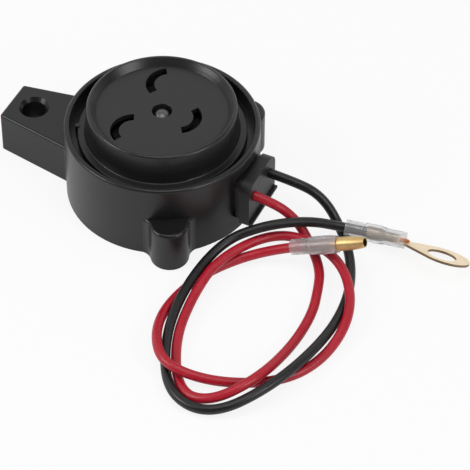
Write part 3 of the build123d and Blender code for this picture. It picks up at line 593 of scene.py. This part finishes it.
# --- crimped terminals ------------------------------------------------------------------------------
# Both terminals are pressed from brass sheet and crimped to the bared wire. The ring's brass is tinned
# and pale and the bullet's is yellower. A soft PVC sleeve covers each crimp.
def stamped_brass(name, bright, dull, cut, up):
    """Tinned brass sheet: soft rolled sheen and faint handling marks. Cut edges are painted darker, partly as
    bare brass and partly as painted shade on edges turned from the lamps; the barrel is painted dark as shade
    under its sleeve.
    """
    finish = Finish(name, Metallic=1.0)
    tarnish = finish.noise(4 * MM, 5, 0.6)
    rolled = finish.noise(0.4 * MM, 4, 0.6, stretch=(0.3, 2.0, 2.0))
    facing = finish.node("ShaderNodeTexCoord", {}, {}, output="Normal")
    edge = 1 - finish.vector("DOT_PRODUCT", facing, up).math("ABSOLUTE").above(0.6, 0.2)
    along_ring = finish.axis("X").above(FLAT_START, 0.8 * MM)
    # the barrel under the sleeve is painted dark brown, a little unevenly: painted shade
    barrel_shade_under_sleeve = 1 - finish.axis("X").above(BARREL_END, 1.6 * MM)
    body = finish.blend(tarnish.above(0.52, 0.2) * 0.7, bright, dull)
    body = finish.blend(barrel_shade_under_sleeve * (0.72 + tarnish * 0.2), body, (0.20, 0.155, 0.10))
    # cut edges painted dark: partly bare brass, partly painted shade on edges turned away from the lamps
    body = finish.blend(edge * along_ring * 0.85, body, cut)
    return finish.surface(body, 0.44 + tarnish * 0.12 + rolled * 0.08, rolled, 0.006 * MM)


RING_FACE = (0.035, 0.527, 0.849)  # the way its flat face looks
BARREL_END = 72.2 * MM
FLAT_START = 74.5 * MM
# the last colour is for the cut edges: partly bare brass, partly painted shade
dress(["ring_terminal"],
      stamped_brass("pale_brass", (0.97, 0.83, 0.63), (0.84, 0.70, 0.50), (0.20, 0.12, 0.06), RING_FACE))


def turned_brass(name, bright, dull, heat):
    """Rolled and swaged brass: a seam along its top, tool rings round it, a browned open end, and the part
    under its sleeve painted dark as shade.
    """
    finish = Finish(name, Metallic=1.0)
    from_end = finish.vector("SUBTRACT", finish.place, tuple(BULLET_WIRE_END * MM), output="Vector")
    across = BULLET_DIRECTION.cross(Vector((0, 0, 1))).normalized()
    travel = finish.vector("DOT_PRODUCT", from_end, tuple(BULLET_DIRECTION))
    sideways = finish.vector("DOT_PRODUCT", from_end, tuple(across))
    above = finish.vector("DOT_PRODUCT", from_end, tuple(across.cross(BULLET_DIRECTION)))
    reach = (sideways * sideways + above * above) ** 0.5
    tarnish = finish.noise(2.2 * MM, 5, 0.65)
    rings = finish.node("ShaderNodeTexNoise", {"noise_dimensions": "1D"}, {
        "W": travel, "Scale": 3800, "Detail": 3})
    beside_seam = (sideways + 0.4 * MM).math("ABSOLUTE")
    seam = (1 - beside_seam.above(0.09 * MM, 0.05 * MM)) * above.above(0.0, 0.2 * MM)
    inside = (1 - reach.above(1.18 * MM, 0.1 * MM)) * travel.above(13.5 * MM, 0.2 * MM)
    # the part under the sleeve is painted dark: painted shade
    bullet_shade_under_sleeve = 1 - travel.above(7.5 * MM, 1.0 * MM)
    body = finish.blend(tarnish.above(0.5, 0.22) * 0.8, bright, dull)
    body = finish.blend(bullet_shade_under_sleeve * 0.85, body, (0.13, 0.10, 0.09))
    body = finish.blend(seam * 0.75, body, heat)
    body = finish.blend(inside * 0.9, body, (0.07, 0.025, 0.01))
    return finish.surface(body, 0.33 + tarnish * 0.16 + rings * 0.08, rings * 0.6 - seam * 0.8, 0.012 * MM)


dress(["bullet_terminal"],
      turned_brass("yellow_brass", (0.78, 0.56, 0.26), (0.60, 0.40, 0.16), (0.24, 0.13, 0.04)))


def bare_copper(name):
    """Bare copper strands, tinned in places and browned at their ends."""
    finish = Finish(name, Metallic=1.0)
    browned = finish.noise(0.7 * MM, 4, 0.6)
    body = finish.blend(browned, (0.75, 0.34, 0.13), (0.42, 0.15, 0.045))
    return finish.surface(body, 0.3 + browned * 0.2, browned, 0.01 * MM)


def clear_pvc(name, tone, gloss, see_through):
    """Soft PVC sleeve, see-through, with a slight haze that thickens in streaks."""
    finish = Finish(name, IOR=1.4, Transmission_Weight=see_through)
    haze = finish.noise(2.2 * MM, 4, 0.6)
    ripples = finish.noise(0.9 * MM, 3, 0.5)
    body = finish.blend(haze, tone, tuple(0.9 * c for c in tone))
    return finish.surface(body, gloss + haze * 0.1, haze * 0.7 + ripples * 0.3, 0.02 * MM)


# the black wire's own strands, which show past the end of the ring's barrel
STRANDS_PAST, STRANDS_LIFT = 5.1, 0.2
bundle = Shaping("bare_strands", strand=0.17 * MM, spread=0.36 * MM, length=3.0 * MM, count=6, seed=4)
lay = bundle.node("GeometryNodeCurveSpiral", {}, {
    "Resolution": 40, "Rotations": 0.22, "Start Radius": 0.0, "End Radius": 0.05 * MM,
    "Height": bundle["length"]})
outline = bundle.node("GeometryNodeCurvePrimitiveCircle", {"mode": "RADIUS"}, {
    "Resolution": 10, "Radius": bundle["strand"]})
one = bundle.node("GeometryNodeCurveToMesh", {}, {"Curve": lay, "Profile Curve": outline, "Fill Caps": True})
starts = bundle.node("GeometryNodeMeshCircle", {}, {"Vertices": bundle["count"], "Radius": bundle["spread"]})
cut = bundle.node("FunctionNodeRandomValue", {"data_type": "FLOAT"}, {
    "Min": 0.72, "Max": 1.0, "Seed": bundle["seed"]}, output=1)
strands = bundle.node("GeometryNodeInstanceOnPoints", {}, {
    "Points": starts, "Instance": one, "Scale": bundle.point(1.0, 1.0, cut)})
strands = bundle.join(one, strands)
strands_start = (RING_WIRE_END + BARREL_DIRECTION * STRANDS_PAST + Vector(RING_FACE) * STRANDS_LIFT) * MM
strands_turn = pointing(6.0, -3.5).to_track_quat("Z", "Y").to_euler()
strands = bundle.moved(strands, tuple(strands_start), tuple(strands_turn))
bundle.piece("bare_strands", strands, bare_copper("bare_copper"), "enamelled_copper")

dress(["bullet_sleeve"], clear_pvc("milky_pvc", (0.90, 0.85, 0.86), 0.24, 0.86))
dress(["ring_sleeve"], clear_pvc("clear_pvc", (0.90, 0.90, 0.91), 0.1, 0.9))

for piece, name, length, on_it in (
        (black_lead, "black", 0.238, ["ring_terminal", "ring_sleeve"]),
        (red_lead, "red", 0.358, ["bullet_terminal", "bullet_sleeve"])):
    side = 1 if name == "black" else -1
    side * EXIT_Y * MM


# --- floor, lamps and surroundings ------------------------------------------------------------------
# A white sweep under soft lamps. The floor and the surroundings look white to the viewer and in
# reflections without lighting the alarm any more than the lamps do.
floor_mesh = bpy.data.meshes.new("floor")
floor_mesh.from_pydata([(-3, -3, 0), (3, -3, 0), (3, 3, 0), (-3, 3, 0)], [], [(0, 1, 2, 3)])
floor = bpy.data.objects.new("floor", floor_mesh)
bpy.context.scene.collection.objects.link(floor)


def rays(wiring):
    """Whether a ray comes from the viewer or through something clear, and whether off something shiny."""
    direct, through, mirrored = (wiring.node("ShaderNodeLightPath", {}, {}, output=kind)
                                 for kind in ("Is Camera Ray", "Is Transmission Ray", "Is Glossy Ray"))
    return direct.math("MAXIMUM", through), mirrored


white_paper = bpy.data.materials.new("white_paper")
white_paper.use_nodes = True
paper = Wiring(white_paper.node_tree)
viewed, mirrored = rays(paper)
glow_share = (viewed * 0.86).math("MAXIMUM", mirrored * 0.4)
matt = paper.node("ShaderNodeBsdfDiffuse", {}, {"Color": (0.86, 0.86, 0.86)})
glow = paper.node("ShaderNodeEmission", {}, {"Color": (1, 1, 1)})
sheet = paper.node("ShaderNodeMixShader", {}, (glow_share, matt, glow))
paper.node("ShaderNodeOutputMaterial", {}, {"Surface": sheet})
floor_mesh.materials.append(white_paper)

world = bpy.data.worlds.new("surroundings")
bpy.context.scene.world = world
world.use_nodes = True
room = Wiring(world.node_tree)
viewed, mirrored = rays(room)
bearing = room.node("ShaderNodeTexCoord", {}, {}, output="Generated")
backward = room.vector("DOT_PRODUCT", bearing, (-0.42, 0.906, 0))
height = room.node("ShaderNodeSeparateXYZ", {}, {"Vector": bearing}, output="Z")
sweep = backward.above(0.25, 0.3) * (1 - height.above(0.83, 0.1))
fill = room.node("ShaderNodeBackground", {}, {"Color": (0.3, 0.3, 0.31)})
reflected = room.node("ShaderNodeBackground", {}, {
    "Color": room.blend(sweep, (0.1, 0.1, 0.1), (0.95, 0.95, 0.95))})
white = room.node("ShaderNodeBackground", {}, {"Color": (1, 1, 1)})
lit = room.node("ShaderNodeMixShader", {}, (mirrored, fill, reflected))
lit = room.node("ShaderNodeMixShader", {}, (viewed, lit, white))
room.node("ShaderNodeOutputWorld", {}, {"Surface": lit})


def lamp(name, azimuth, elevation, away, width, height, power):
    """A soft box aimed at the alarm, placed by its bearing, height and distance."""
    data = bpy.data.lights.new(name, "AREA")
    data.shape = "RECTANGLE"
    data.size = width
    data.size_y = height
    data.energy = power
    piece = bpy.data.objects.new(name, data)
    bpy.context.scene.collection.objects.link(piece)
    out = Vector((sin(radians(azimuth)) * cos(radians(elevation)),
                  -cos(radians(azimuth)) * cos(radians(elevation)), sin(radians(elevation))))
    turn = out.to_track_quat("Z", "Y").to_matrix().to_4x4()
    piece.matrix_world = Matrix.Translation(aim + out * away) @ turn


lamp("left_box", -55, 35, 0.9, 0.4, 0.4, 3.4)
lamp("right_box", 80, 35, 0.9, 0.4, 0.4, 2.8)
lamp("top_box", 25, 85, 1.0, 0.6, 0.6, 3.0)

bpy.context.scene.view_settings.view_transform = "Standard"

bpy.context.view_layer.update()
